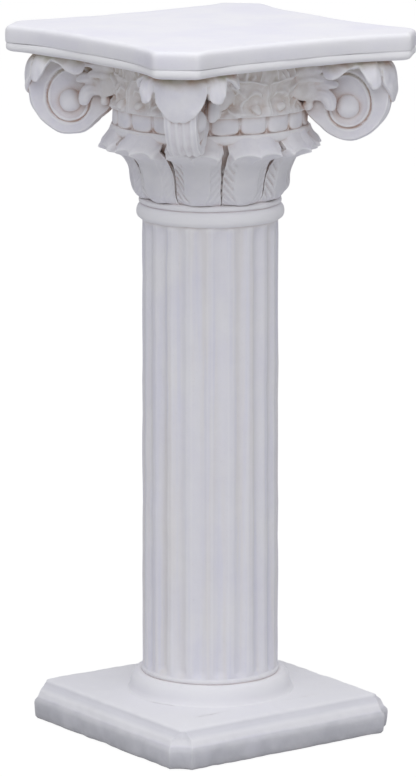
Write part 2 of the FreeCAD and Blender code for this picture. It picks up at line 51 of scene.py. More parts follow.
# Where each casting starts and ends, in mm above the floor. The plinth and the foot ring reach a little into
# each other, because their faces are wavy.
PLINTH = (1.5, 44.6)
FOOT_RING = (44.3, 66)
SHAFT = (66, 586)
NECK_RING = (586, 611)
BELL = (611, 693)
EGG_BAND = (693, 713)
FACE_SPRAY = (712.6, 769.8)
BEAD_BOARD = (770, 780.5)
SLAB = (780.5, 800)
UNDER_BOARD = 769.5  # how high the rules of the sprays, the scrolls and their leaves reach
SCROLL_LEAF_TOP = 769.9

# %% [markdown]
# ## The camera and the light
#
# A long lens a good way off, as a catalogue photographer uses, keeps the column's sides parallel. It could be
# placed by eye. Here it was fitted to the corners of the slab and the plinth, so the picture can be laid over
# the render.

# %% Camera
bpy.ops.object.select_all(action="DESELECT")
camera_turn = (math.radians(78.6), 0, math.radians(-35.7))
bpy.ops.object.camera_add(location=(-3.107, -4.324, 1.464), rotation=camera_turn)
camera = bpy.context.object
camera.name = "camera"
camera.data.lens = 223.55
camera.data.sensor_width = 36
camera.data.shift_x = -0.003
bpy.context.scene.camera = camera
print("camera", round(camera.location.length, 2), "m from the plinth's middle")

# %% [markdown]
# The studio is a white floor under a white sky, with one broad lamp overhead and one in front. The tops of
# things are the lightest, and the sides are about two thirds as bright. Light Path lets the camera see plain
# white behind the object, while the light that falls on the plaster stays at its own plain level.

# %% Helpers: nodes
NODE_SETTINGS = ("operation", "data_type", "samples")


def link(tree, source, target):
    tree.links.new(source, target)


def add_node(tree, kind, **settings):
    """A new node. What isn't one of its NODE_SETTINGS is the value of an input."""
    made = tree.nodes.new(kind)
    for key, value in settings.items():
        if key in NODE_SETTINGS:
            setattr(made, key, value)
        else:
            made.inputs[key.replace("_", " ")].default_value = value
    return made


def white_to_the_camera(tree, shader, white_share):
    """Mixes a plain white into a shader, for the rays that the viewer sees directly or mirrored."""
    path = add_node(tree, "ShaderNodeLightPath")
    seen = add_node(tree, "ShaderNodeMath", operation="MAXIMUM")
    seen_too = add_node(tree, "ShaderNodeMath", operation="MAXIMUM")
    share = add_node(tree, "ShaderNodeMath", operation="MULTIPLY")
    share.inputs[1].default_value = white_share
    link(tree, path.outputs["Is Camera Ray"], seen.inputs[0])
    link(tree, path.outputs["Is Glossy Ray"], seen.inputs[1])
    link(tree, seen.outputs[0], seen_too.inputs[0])
    link(tree, path.outputs["Is Transmission Ray"], seen_too.inputs[1])
    link(tree, seen_too.outputs[0], share.inputs[0])
    mix = add_node(tree, "ShaderNodeMixShader")
    link(tree, share.outputs[0], mix.inputs[0])
    link(tree, shader, mix.inputs[1])
    return mix


# %% Sky
bpy.context.scene.view_settings.view_transform = "Standard"
world = bpy.data.worlds.new("studio")
world.use_nodes = True
bpy.context.scene.world = world
sky = world.node_tree.nodes["Background"]
sky.inputs["Color"].default_value = (0.97, 0.98, 1.0, 1)
sky.inputs["Strength"].default_value = 0.46
white_sky = add_node(world.node_tree, "ShaderNodeBackground", Strength=1.0)
white_sky.inputs["Color"].default_value = (1, 1, 1, 1)
sky_mix = white_to_the_camera(world.node_tree, sky.outputs[0], 1.0)
link(world.node_tree, white_sky.outputs[0], sky_mix.inputs[2])
link(world.node_tree, sky_mix.outputs[0], world.node_tree.nodes["World Output"].inputs["Surface"])
print("sky ready")

# %% Lamps and floor
MIDDLE_OF_COLUMN = Vector((0, 0, 0.45))
for lamp_name, lamp_place, size, power in (
    ("overhead_lamp", (-0.3, -0.5, 3.3), 2.2, 38),
    ("front_lamp", (-2.7, -3.4, 3.2), 2.8, 54),
):
    aim = (MIDDLE_OF_COLUMN - Vector(lamp_place)).to_track_quat("-Z", "Y").to_euler()
    bpy.ops.object.light_add(type="AREA", location=lamp_place, rotation=aim)
    lamp = bpy.context.object
    lamp.name = lamp_name
    lamp.data.size = size
    lamp.data.energy = power

bpy.ops.mesh.primitive_plane_add(size=60)
floor = bpy.context.object
floor.name = "floor"
floor_finish = bpy.data.materials.new("white_floor")
floor_finish.use_nodes = True
floor_tree = floor_finish.node_tree
floor_paint = floor_tree.nodes["Principled BSDF"]
floor_paint.inputs["Base Color"].default_value = (0.60, 0.60, 0.61, 1)
floor_paint.inputs["Roughness"].default_value = 0.9
floor_white = add_node(floor_tree, "ShaderNodeEmission", Strength=1.12)
floor_mix = white_to_the_camera(floor_tree, floor_paint.outputs[0], 0.85)
link(floor_tree, floor_white.outputs[0], floor_mix.inputs[2])
link(floor_tree, floor_mix.outputs[0], floor_tree.nodes["Material Output"].inputs["Surface"])
floor.data.materials.append(floor_finish)
print("studio ready")

# %% [markdown]
# ## The plaster
#
# Cast plaster is matt and slightly uneven. The maker brushes a thin brown wash over the capital and wipes it
# off again, so it stays only in the hollows. We could paint it by hand. An Ambient Occlusion node finds the
# hollows by itself, and noises break the wash up and turn it from brown to green. The height of a point
# decides what else it gets: the wash on the capital, faint streaks down the shaft, painted shade on the
# plinth's sides, on its step and on the leaves' middles, and painted light on the plinth's top, the bead and
# the neck ring.

# %% Helpers: plaster
plaster = bpy.data.materials.new("cast_plaster_finish")
plaster.use_nodes = True
tree = plaster.node_tree
surface = tree.nodes["Principled BSDF"]
surface.inputs["Roughness"].default_value = 0.78
surface.inputs["Specular IOR Level"].default_value = 0.28


def mix_colours(share, first, second):
    """A colour between two, by a share from 0 to 1. A colour is a socket, or red, green and blue."""
    mix = add_node(tree, "ShaderNodeMix", data_type="RGBA")
    link(tree, share, mix.inputs[0])
    for socket, colour in ((mix.inputs[6], first), (mix.inputs[7], second)):
        if isinstance(colour, bpy.types.NodeSocket):
            link(tree, colour, socket)
        else:
            socket.default_value = (*colour, 1)
    return mix.outputs[2]


def stretch(value, low, high, to_low=0.0, to_high=1.0):
    """Turns the range low..high of a value into to_low..to_high, and holds it there."""
    span = add_node(tree, "ShaderNodeMapRange")
    link(tree, value, span.inputs[0])
    for number, setting in enumerate((low, high, to_low, to_high), start=1):
        span.inputs[number].default_value = setting
    return span.outputs[0]


def over_mm(length, low, high, to_low=0.0, to_high=1.0):
    """The same for a length, with low and high in mm."""
    return stretch(length, low * MM, high * MM, to_low, to_high)


def times(first, second):
    product = add_node(tree, "ShaderNodeMath", operation="MULTIPLY")
    link(tree, first, product.inputs[0])
    if isinstance(second, bpy.types.NodeSocket):
        link(tree, second, product.inputs[1])
    else:
        product.inputs[1].default_value = second
    return product.outputs[0]


def scaled(where, factors):
    """A place with each coordinate multiplied. A factor of 0 flattens it, and a small one draws noise out."""
    product = add_node(tree, "ShaderNodeVectorMath", operation="MULTIPLY")
    link(tree, where, product.inputs[0])
    product.inputs[1].default_value = factors
    return product.outputs[0]


def noise(scale, detail, where):
    pattern = add_node(tree, "ShaderNodeTexNoise", Scale=scale, Detail=detail)
    link(tree, where, pattern.inputs["Vector"])
    return pattern.outputs[0]


def openness(reach):
    """How little stands round a place within so many mm, from 0 to 1."""
    return add_node(tree, "ShaderNodeAmbientOcclusion", samples=8, Distance=reach * MM).outputs["AO"]


# %% Where the washes and the painted shade on the plinth's sides lie
place = add_node(tree, "ShaderNodeTexCoord").outputs["Object"]
split = add_node(tree, "ShaderNodeSeparateXYZ")
link(tree, place, split.inputs[0])
height = split.outputs["Z"]
plan_length = add_node(tree, "ShaderNodeVectorMath", operation="LENGTH")
link(tree, scaled(place, (1, 1, 0)), plan_length.inputs[0])
from_axis = plan_length.outputs["Value"]


def band(start, full, fading, gone, top=1.0):
    """A share by height in mm: it grows to `top` from start to full, and fades from fading to gone."""
    return times(over_mm(height, start, full, 0.0, top), over_mm(height, gone, fading))


open_wide = openness(22)
hollow, deep = stretch(open_wide, 0.88, 0.35), stretch(open_wide, 0.50, 0.18)
narrow = stretch(openness(8), 0.90, 0.48)
edges = add_node(tree, "ShaderNodeNewGeometry").outputs["Pointiness"]
patches = noise(38, 3, place)
drawn_down = scaled(place, (1, 1, 0.035))

on_shaft = band(67, 75, 584, 587, top=0.5)
on_capital = times(over_mm(height, 610, 640, 0.28, 1.0), over_mm(height, 775.5, 778.5, 1.0, 0.12))
on_leafy_faces = times(band(706, 722, 769, 775), over_mm(from_axis, 140, 114))
under_ring = times(band(580, 585, 588, 592), stretch(patches, 0.35, 0.6, 0.2, 0.9))
under_slab = times(band(730, 766, 774.5, 775.5), stretch(patches, 0.35, 0.62, 0.1, 0.75))
# painted shade on the plinth's sides: strongest at the floor, weaker at the top of the side
plinth_side_painted_shade = times(over_mm(height, 1, 27.5, 0.85, 0.46), over_mm(height, 27.5, 25.5))

mossy = times(stretch(patches, 0.42, 0.60), over_mm(height, 715, 750, 0.1, 1.0))
brown_or_moss = mix_colours(mossy, (0.53, 0.37, 0.30), (0.53, 0.515, 0.43))
wiped = times(stretch(patches, 0.3, 0.7, 0.35, 0.95), stretch(on_leafy_faces, 0, 1, 1.0, 0.45))
wiped = times(wiped, over_mm(height, 664, 672, 0.4, 1.0))
wiped = times(wiped, over_mm(from_axis, 115, 130, 1.0, 0.6))
print("places for the washes:", len(tree.nodes), "nodes")

# %% [markdown]
# Now the washes, the painted light and the painted shade go on, one over the other: how much of each lies at
# a place, and its colour.

# %% Washes, painted light and painted shade
base = mix_colours(stretch(noise(14, 4, place), 0.35, 0.65), (0.795, 0.787, 0.868), (0.84, 0.834, 0.878))
for share, colour in (
    # warm and cool streaks on the shaft
    (times(stretch(noise(60, 2, drawn_down), 0.48, 0.62), on_shaft), (0.80, 0.77, 0.765)),
    (times(stretch(noise(95, 2, drawn_down), 0.52, 0.64), on_shaft), (0.745, 0.745, 0.865)),
    # specks all over
    (times(stretch(noise(420, 2, place), 0.62, 0.75), 0.10), (0.55, 0.53, 0.52)),
    # the tinted ground of the leafy faces
    (times(on_leafy_faces, 0.75), (0.715, 0.675, 0.635)),
    # the wash in wide hollows, in the deepest ones, and in narrow ones
    (times(times(hollow, on_capital), 0.65), (0.71, 0.61, 0.555)),
    (times(times(deep, on_capital), 0.85), (0.60, 0.34, 0.23)),
    (times(times(narrow, on_capital), wiped), brown_or_moss),
    # brown where the shaft meets the neck ring, and green under the slab
    (times(under_ring, narrow), (0.50, 0.33, 0.26)),
    (times(under_slab, hollow), (0.60, 0.60, 0.49)),
    # rubbed patches on the capital, and rubbed edges all over, which also serve as a painted highlight on
    # lips and ridges
    (times(times(stretch(noise(75, 3, place), 0.38, 0.62), on_capital), 0.42), (0.91, 0.90, 0.93)),
    (times(stretch(edges, 0.503, 0.54), 0.55), (0.95, 0.945, 0.965)),
    # painted light: the plinth's top with the foot ring, the bead under the slab and the neck ring are
    # painted lighter, as light falls on them
    (band(27.5, 29, 62, 66, top=0.7), (0.89, 0.885, 0.925)),
    (band(772.5, 775, 779.5, 780.5, top=0.9), (0.93, 0.925, 0.955)),
    (band(588.5, 592, 602, 603.5, top=0.75), (0.93, 0.925, 0.96)),
    # painted shade: the leaves' middles and the step round the plateau are painted darker, where shade falls
    (band(612, 624, 654, 666, top=0.35), (0.62, 0.615, 0.64)),
    (times(band(34, 37.5, 41.5, 43.8), 0.45), (0.60, 0.60, 0.67)),
    # painted shade on the plinth's sides, darker towards the floor and broken up by noise
    (times(plinth_side_painted_shade, stretch(noise(34, 5, place), 0.35, 0.65, 0.7, 1.1)), (0.46, 0.465, 0.51)),
):
    base = mix_colours(share, base, colour)
link(tree, base, surface.inputs["Base Color"])

grain = add_node(tree, "ShaderNodeBump", Strength=0.22, Distance=0.0012)
link(tree, noise(160, 5, place), grain.inputs["Height"])
swell = add_node(tree, "ShaderNodeBump", Strength=0.35, Distance=0.006)
link(tree, noise(17, 2, place), swell.inputs["Height"])
link(tree, grain.outputs[0], swell.inputs["Normal"])
link(tree, swell.outputs[0], surface.inputs["Normal"])
print("plaster has", len(tree.nodes), "nodes")

# %% [markdown]
# The felt under the plinth and the zinc of the rod, the nuts and the washers are hardly ever seen. Their CAD
# solids have the right shapes, so they stay and only get a finish.


# %% Felt and zinc
def small_finish(name, colour, rough, metal, grain_scale, grain_height):
    finish = bpy.data.materials.new(name)
    finish.use_nodes = True
    nodes = finish.node_tree
    skin = nodes.nodes["Principled BSDF"]
    skin.inputs["Roughness"].default_value = rough
    skin.inputs["Metallic"].default_value = metal
    where = add_node(nodes, "ShaderNodeTexCoord")
    fibre = add_node(nodes, "ShaderNodeTexNoise", Scale=grain_scale, Detail=4)
    link(nodes, where.outputs["Object"], fibre.inputs["Vector"])
    shades = add_node(nodes, "ShaderNodeValToRGB")
    shades.color_ramp.elements[0].color = (*(0.75 * c for c in colour), 1)
    shades.color_ramp.elements[1].color = (*colour, 1)
    link(nodes, fibre.outputs[0], shades.inputs[0])
    link(nodes, shades.outputs[0], skin.inputs["Base Color"])
    relief = add_node(nodes, "ShaderNodeBump", Strength=0.5, Distance=grain_height)
    link(nodes, fibre.outputs[0], relief.inputs["Height"])
    link(nodes, relief.outputs[0], skin.inputs["Normal"])
    return finish


felt = small_finish("grey_felt", (0.20, 0.20, 0.21), 0.95, 0.0, 1500, 0.0004)
zinc = small_finish("zinc_plate", (0.62, 0.63, 0.64), 0.42, 1.0, 300, 0.0001)
for node_name, finish in (("foot_pads", felt), ("tie_rod", zinc), ("tie_washers", zinc), ("tie_nuts", zinc)):
    for material_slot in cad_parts[node_name].material_slots:
        material_slot.material = finish
print("kept CAD solids: foot_pads, tie_rod, tie_washers, tie_nuts")

# %% [markdown]
# ## The maker's helpers
#
# A casting starts as a turned or carved model. `drum` gives a cylinder with rings cut round it, `turned`
# spins a profile as a lathe does, `sheet` bends a grid, and `carve` moves every point by a rule, which is
# sculpting in code. `roughen` gives the slight waves that a hand-finished mould leaves.


# %% Helpers: carving
def carve(piece, shape):
    """Moves every point of a piece. shape gets x, y, z in mm, as arrays, and gives them back moved."""
    mesh = piece.data
    points = np.empty(len(mesh.vertices) * 3)
    mesh.vertices.foreach_get("co", points)
    x, y, z = points.reshape(-1, 3).T / MM
    mesh.vertices.foreach_set("co", (np.column_stack(shape(x, y, z)) * MM).ravel())
    mesh.update()


def waves(x, y, z, pitch, seed):
    """A smooth random height, mostly between -1 and 1, that changes over `pitch` millimetres."""
    draw = np.random.default_rng(seed)
    total = np.zeros_like(x)
    for _ in range(7):
        way = draw.normal(size=3)
        way *= 2 * np.pi / (np.linalg.norm(way) * pitch * draw.uniform(0.7, 1.5))
        total += np.sin(x * way[0] + y * way[1] + z * way[2] + draw.uniform(0, 2 * np.pi))
    return total / 2.6


def roughen(piece, pitch, depth, seed):
    """Presses slight waves into a piece, along its normals."""
    mesh = piece.data
    normals = np.empty(len(mesh.vertices) * 3)
    mesh.vertices.foreach_get("normal", normals)
    nx, ny, nz = normals.reshape(-1, 3).T

    def push(x, y, z):
        step = depth * waves(x, y, z, pitch, seed)
        return x + nx * step, y + ny * step, z + nz * step

    carve(piece, push)


def level_off(piece, low, high):
    """Planes a piece flat at two heights, where it meets its neighbours."""
    carve(piece, lambda x, y, z: (x, y, np.clip(z, low, high)))


def smooth_step(value, low, high):
    share = np.clip((value - low) / (high - low), 0, 1)
    return share * share * (3 - 2 * share)


def bump(value, middle, width):
    """A smooth bump of height 1."""
    return np.exp(-(((value - middle) / width) ** 2))


def curve_through(points, share):
    """Points of a smooth curve through the given ones, at shares from 0 to 1 of its way."""
    knots = np.array(points, float)
    place_on = np.clip(share, 0, 1) * (len(knots) - 1)
    i = np.minimum(place_on.astype(int), len(knots) - 2)
    f = (place_on - i)[..., None]
    p0, p1 = knots[np.maximum(i - 1, 0)], knots[i]
    p2, p3 = knots[i + 1], knots[np.minimum(i + 2, len(knots) - 1)]
    square, cube = 2 * p0 - 5 * p1 + 4 * p2 - p3, 3 * p1 - p0 - 3 * p2 + p3
    return 0.5 * (2 * p1 + (p2 - p0) * f + square * f**2 + cube * f**3)


# %% Helpers: starting a piece
def begin(name):
    """Names the primitive that was just added and puts its place into its mesh."""
    piece = bpy.context.object
    piece.name = name
    bpy.ops.object.transform_apply(location=True, rotation=True, scale=True)
    return piece


def pick_faces(piece, rule):
    """Selects the faces for which rule(middle, normal) is true, in edit mode."""
    bpy.ops.object.mode_set(mode="OBJECT")
    for face in piece.data.polygons:
        face.select = bool(rule(face.center, face.normal))
    bpy.ops.object.mode_set(mode="EDIT")
    bpy.ops.mesh.select_mode(type="FACE")


def drum(name, around, levels, rings=(3,)):
    """A closed cylinder of radius 100 mm with a ring at each level, and inset rings on its two ends."""
    bpy.ops.object.select_all(action="DESELECT")
    low, high = levels[0] * MM, levels[-1] * MM
    bpy.ops.mesh.primitive_cylinder_add(
        vertices=around, radius=100 * MM, depth=high - low, location=(0, 0, (low + high) / 2)
    )
    piece = begin(name)
    bpy.ops.object.mode_set(mode="EDIT")
    for level in levels[1:-1]:
        bpy.ops.mesh.select_all(action="SELECT")
        bpy.ops.mesh.bisect(plane_co=(0, 0, level * MM), plane_no=(0, 0, 1))
    for side in (-1, 1):
        bpy.ops.mesh.select_all(action="DESELECT")
        pick_faces(piece, lambda middle, normal: normal.z * side > 0.9)
        for ring in rings:
            bpy.ops.mesh.inset(thickness=ring * MM, use_even_offset=False)
    bpy.ops.object.mode_set(mode="OBJECT")
    return piece


def turned(name, profile, steps=160):
    """A ring spun from a closed profile of (radius, height) points, as on a lathe."""
    bpy.ops.object.select_all(action="DESELECT")
    bpy.ops.mesh.primitive_circle_add(vertices=len(profile), radius=MM)
    piece = begin(name)
    for point, (radius, level) in zip(piece.data.vertices, profile):
        point.co = (radius * MM, 0, level * MM)
    bpy.ops.object.mode_set(mode="EDIT")
    bpy.ops.mesh.select_all(action="SELECT")
    bpy.ops.mesh.spin(steps=steps, angle=2 * math.pi, center=(0, 0, 0), axis=(0, 0, 1))
    bpy.ops.mesh.select_all(action="SELECT")
    bpy.ops.mesh.remove_doubles(threshold=0.01 * MM)
    bpy.ops.mesh.normals_make_consistent(inside=False)
    bpy.ops.object.mode_set(mode="OBJECT")
    return piece


def sheet(name, columns, rows, rule):
    """A grid bent by a rule, which gets x and y from -1 to 1."""
    bpy.ops.object.select_all(action="DESELECT")
    bpy.ops.mesh.primitive_grid_add(x_subdivisions=columns, y_subdivisions=rows, size=2 * MM)
    piece = begin(name)
    carve(piece, rule)
    return piece


def face_outward(piece, number):
    """Turns a sheet inside out if its face of that number looks towards the column."""
    if piece.data.polygons[number].normal.x < 0:
        piece.data.flip_normals()


def thicken(piece, thickness, offset):
    """Gives a sheet a wall of so many mm: behind it at offset -1, to both sides of it at 0."""
    wall = piece.modifiers.new("wall", "SOLIDIFY")
    wall.thickness = thickness * MM
    wall.offset = offset
    bpy.ops.object.modifier_apply(modifier="wall")


# %% Helpers: finishing a piece
def choose(piece):
    """Makes a piece the only selected and the active one."""
    bpy.ops.object.select_all(action="DESELECT")
    bpy.context.view_layer.objects.active = piece
    piece.select_set(True)


def join_to(piece, others):
    """Makes the others a part of a piece."""
    bpy.ops.object.select_all(action="DESELECT")
    for one in (piece, *others):
        one.select_set(True)
    bpy.context.view_layer.objects.active = piece
    bpy.ops.object.join()


def soften(piece, times_over, factor=0.5):
    """Rounds the edges of a piece a little, as a worn mould does."""
    choose(piece)
    bpy.ops.object.mode_set(mode="EDIT")
    bpy.ops.mesh.select_all(action="SELECT")
    bpy.ops.mesh.vertices_smooth(factor=factor, repeat=times_over)
    bpy.ops.object.mode_set(mode="OBJECT")


def turned_copy(piece, name, degrees):
    """A copy with its own mesh, turned about the column's axis."""
    copy = piece.copy()
    copy.data = piece.data.copy()
    copy.name = name
    bpy.context.collection.objects.link(copy)
    copy.data.transform(Matrix.Rotation(math.radians(degrees), 4, "Z"))
    return copy


def dress(piece, *nodes, sharp=50):
    """Plaster on a finished piece, smooth shading, and its place in the part."""
    choose(piece)
    bpy.ops.object.shade_smooth_by_angle(angle=math.radians(sharp))
    piece.data.materials.clear()
    piece.data.materials.append(plaster)
    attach(piece, "root")
    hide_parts(*nodes)
    print(piece.name, len(piece.data.polygons), "faces")


# %% [markdown]
# ## The plinth
#
# A shallow square block whose corners are cut off and slightly hollowed. Its top slopes up in a margin, then
# a soft step leads to the flat middle. It could be a bevelled cube, but its edges wander in the real one. A
# drum whose rings are laid on the square outline has points enough for that.


# %% Board outlines
CORNER_SHARE = 0.15  # half of a cut corner, as a share of a quarter turn
SIDE_SHARE = 0.35  # half of a side


def board_point(turn, half, clip, notch, sag=0.0, power=3.5):
    """Where the outline of a square board with cut corners lies, for a turn in radians about its middle.

    A share of every quarter turn lies on the cut corner, and the rest runs along the two sides."""
    corner = np.floor(turn / (np.pi / 2))
    share = turn / (np.pi / 2) - corner - 0.5
    across = np.abs(share) / CORNER_SHARE
    along = np.clip((np.abs(share) - CORNER_SHARE) / SIDE_SHARE, 0, 1)
    on_side = across > 1
    run = (half - clip) * (1 - along)
    reach = half - sag * (1 - (run / (half - clip)) ** power)
    big = np.where(on_side, reach, half - clip * (1 - across) / 2)
    small = np.where(on_side, run, half - clip * (1 + across) / 2)
    dent = np.where(on_side, 0, notch * (1 - across**2) / np.sqrt(2))
    big, small = big - dent, small - dent
    x = np.where(share < 0, big, small)
    y = np.where(share < 0, small, big)
    lean = corner * np.pi / 2
    return x * np.cos(lean) - y * np.sin(lean), x * np.sin(lean) + y * np.cos(lean)


def lay_on_board(piece, section, ease=0.0):
    """Lays a drum on a board outline. section(z) gives half width, clip, notch, sag for every point.

    ease rounds the outline: each point is an average over that many radians to both sides."""

    def shape(x, y, z):
        share = np.hypot(x, y) / 100
        turn = np.mod(np.arctan2(y, x), 2 * np.pi)
        bx, by = 0, 0
        for nudge, weight in ((-1, 1), (-0.5, 2), (0, 3), (0.5, 2), (1, 1)):
            px, py = board_point(np.mod(turn + nudge * ease, 2 * np.pi), *section(z))
            bx, by = bx + px * weight / 9, by + py * weight / 9
        return bx * share, by * share, z

    carve(piece, shape)


# %% Plinth
PLINTH_LEVELS = (
    1.5, 4, 9, 15, 20, 23.4, 25.4, 26.9, 29, 31.5, 33.9, 35.5, 37.2, 38.8, 40, 41.2, 42.3, 43.2, 44, 44.5,
)
PLINTH_TABLE = (
    # level, half width, cut corner, hollow in the cut
    (1.5, 149.8, 18, 3), (4, 150.9, 18, 3), (22, 152.3, 18, 3), (23.4, 151.9, 18, 3), (26.9, 149.0, 17.5, 3),
    (33.9, 146.2, 16, 2.4), (36.5, 143.5, 12, 1.5), (40, 138.6, 7, 0.8), (42.8, 136.9, 5, 0.5),
    (44.5, 133.8, 4, 0.4),
)


def plinth_section(z):
    levels, *columns = zip(*PLINTH_TABLE)
    return tuple(np.interp(z, levels, column) for column in columns)


plinth = drum("plinth_casting", 640, PLINTH_LEVELS, rings=(4, 10, 14))
lay_on_board(plinth, plinth_section)
soften(plinth, 1)
roughen(plinth, 55, 0.45, seed=3)
roughen(plinth, 17, 0.22, seed=4)
level_off(plinth, *PLINTH)
dress(plinth, "plinth", sharp=60)

# %% [markdown]
# ## The foot ring and the neck ring
#
# These are round mouldings, so they are turned: a closed profile is drawn beside the axis and spun. The foot
# ring is a low hump that runs out on to the plinth. The neck ring is a fat astragal with a thin bead above.

# %% Foot ring
FOOT_PROFILE = (
    (76, 44.3), (94.6, 44.3), (93.6, 45.6), (92.2, 47.6), (91.4, 50), (91.0, 52.4), (90.6, 55), (89.8, 58),
    (88.4, 61.4), (86.2, 64.2), (83.8, 65.7), (82, 66), (76, 66),
)
foot_ring = turned("foot_ring_casting", FOOT_PROFILE, steps=200)
roughen(foot_ring, 40, 0.35, seed=8)
level_off(foot_ring, *FOOT_RING)
dress(foot_ring, "foot_ring")

# %% Neck ring
NECK_PROFILE = (
    (70, 586), (76, 586), (79.2, 586.6), (81.5, 588.6), (82.7, 591.2), (83, 594.2), (82.7, 597.4),
    (81.5, 600.2), (79.3, 602.2), (77.6, 603.1), (77.2, 603.8), (78.6, 604.2), (79.8, 605.2), (80, 607),
    (79.6, 608.6), (78, 609.8), (76, 610.6), (70, 611),
)
neck_ring = turned("neck_ring_casting", NECK_PROFILE, steps=200)
roughen(neck_ring, 30, 0.3, seed=12)
level_off(neck_ring, *NECK_RING)
dress(neck_ring, "neck_ring")

# %% [markdown]
# ## The fluted shaft
#
# Twenty shallow flutes run from the foot band to the neck ring. They could be cut with twenty Booleans, but a
# drum with 24 points to a flute takes the same shape from one rule: the radius dips along an arc between the
# lands, and the dip fades out at the foot and grows shallower at the neck.

# %% Shaft
SHAFT_LEVELS = (66, 66.6, 67.2, 68, 70.2, 71.4, 72.2, 73.5, 75.5, 78, 82) + tuple(range(100, 560, 20)) + (
    566, 572, 576, 579, 582, 586,
)
SHAFT_RADIUS = 77
FLUTE_STEP = np.pi / 10
FLUTE_DEPTH = 3.3
HALF_LAND = 2.6
FOOT_BAND = ((66, 66.6, 67.2, 68, 70.2, 71.4, 72.2), (77.2, 77.6, 78.1, 78.5, 78.5, 78.0, 77))


def shaft_rule(x, y, z):
    turn = np.mod(np.arctan2(y, x), 2 * np.pi)
    share = np.hypot(x, y) / 100
    radius = SHAFT_RADIUS - (z - SHAFT[0]) / (SHAFT[1] - SHAFT[0])
    offset = np.abs(np.mod(turn + FLUTE_STEP / 2, FLUTE_STEP) - FLUTE_STEP / 2) * radius
    dip = np.clip((offset - HALF_LAND) / (FLUTE_STEP * radius / 2 - HALF_LAND), 0, 1)
    dip = np.sin(dip * np.pi / 2) ** 1.15
    ends = smooth_step(z, 72, 79) * (1 - 0.35 * smooth_step(z, 574, 586))
    body = np.where(z < FOOT_BAND[0][-1], np.interp(z, *FOOT_BAND), radius - FLUTE_DEPTH * dip * ends)
    return x / np.hypot(x, y) * body * share, y / np.hypot(x, y) * body * share, z


shaft = drum("shaft_casting", 480, SHAFT_LEVELS)
carve(shaft, shaft_rule)
roughen(shaft, 60, 0.35, seed=21)
level_off(shaft, *SHAFT)
dress(shaft, "fluted_shaft", sharp=40)

# %% [markdown]
# ## The slab and its bead
#
# The top is a classical abacus: a square board with hollow sides and cut corners. A bead board under it
# carries the same outline. Both are drums laid on the outline, and each level is set back a little to round
# the edges.


# %% Top boards
HOLLOW_OF_SIDES = 17.2
BOARD_EASE = 0.045
CLIP_PER_SETBACK = 0.586  # 2 - sqrt(2)
WIDEST = 177.9


def set_back(z, levels, setbacks, half, clip):
    """The board's section at z, drawn in alike on its sides and its cut corners."""
    back = np.interp(z, levels, setbacks)
    return half - back, clip - CLIP_PER_SETBACK * back, 0.0 * z, HOLLOW_OF_SIDES


def keep_in_box(x, y, z):
    return np.clip(x, -WIDEST, WIDEST), np.clip(y, -WIDEST, WIDEST), np.clip(z, *SLAB)


SLAB_LEVELS = (780.5, 780.9, 781.9, 783.5, 787, 791, 795, 796.6, 798, 799.1, 799.8, 800)
SLAB_SETBACKS = (0.7, 0.5, 0.25, 0.1, 0, 0, 0.2, 0.8, 1.7, 3.0, 4.6, 6.2)
slab = drum("slab_casting", 640, SLAB_LEVELS, rings=(0.5, 4, 8, 14))
lay_on_board(slab, lambda z: set_back(z, SLAB_LEVELS, SLAB_SETBACKS, 179.3, 36.6), ease=BOARD_EASE)
soften(slab, 2)
roughen(slab, 70, 0.3, seed=31)
carve(slab, keep_in_box)
dress(slab, "abacus_slab", sharp=60)

BEAD_LEVELS = (770, 770.7, 771.6, 772.8, 774.2, 775.6, 777, 778.2, 779.2, 780, 780.5)
BEAD_SETBACKS = (6.5, 4.2, 2.2, 0.9, 0.2, 0, 0.05, 0.2, 0.45, 0.65, 0.75)
bead = drum("bead_board_casting", 640, BEAD_LEVELS, rings=(0.5, 4, 8, 14))
lay_on_board(bead, lambda z: set_back(z, BEAD_LEVELS, BEAD_SETBACKS, 178.9, 36.1), ease=BOARD_EASE)
soften(bead, 1)
roughen(bead, 60, 0.3, seed=32)
level_off(bead, *BEAD_BOARD)
dress(bead, "abacus_moulding", sharp=60)

# %% [markdown]
# ## The bell and its leaves
#
# Behind the leaves stands a plain bell, and its rim shows as a light band above them. The ten leaves are
# alike: a smooth swelling middle, side strips with slanting veins, and a lip that curls out in three points
# with shallow arches between. A leaf is a grid. Its rows climb the bell's profile, its columns spread over a
# tenth of the turn, and a Solidify modifier gives it a back.

# %% Bell
BELL_PROFILE = (
    (50, 611), (73.5, 611), (75, 622), (77, 634), (80, 645.4), (84.5, 656), (91, 665.9), (98.5, 675),
    (106, 681.5), (109.6, 683.8), (110.8, 686.5), (111, 689.5), (110.6, 692), (109.6, 693), (50, 693),
)
bell = turned("bell_casting", BELL_PROFILE, steps=180)
roughen(bell, 35, 0.3, seed=41)
level_off(bell, *BELL)
dress(bell, "leaf_bell")

# %% One leaf
LEAF_FOOT = (
    (80, 611), (84.4, 614.6), (87.6, 620), (89.0, 627), (90.0, 634.5), (91.6, 642), (94.2, 649.2),
    (98.2, 656),
)
LEAF_ARCH = LEAF_FOOT + (
    (103.8, 661.8), (110.2, 666.4), (116.8, 669.6), (121.8, 672.4), (120.4, 676.4), (116.4, 681.2),
    (113.1, 686.2), (111.2, 691.0),
)
LEAF_POINT = LEAF_FOOT + (
    (104.4, 660.4), (112.0, 663.8), (119.8, 665.8), (126.2, 668.2), (124.6, 672.4), (119.2, 677.2),
    (114.0, 682.8), (111.2, 689.0),
)
LEAF_GAP = ((611, 622, 645, 662, 672, 686), (0.3, 0.5, 1.3, 2.8, 3.2, 2.6))  # half of the gap, by height
LEAF_COUNT = 10
LEAF_SIDE = math.pi / LEAF_COUNT
LEAF_COLUMNS, LEAF_ROWS = 72, 88
VEIN_PITCH, VEIN_SLANT = 9.0, 3.6
NEAR_VEINS, FAR_VEINS = 1.25, 0.45  # how strong they are on the leaf's two sides


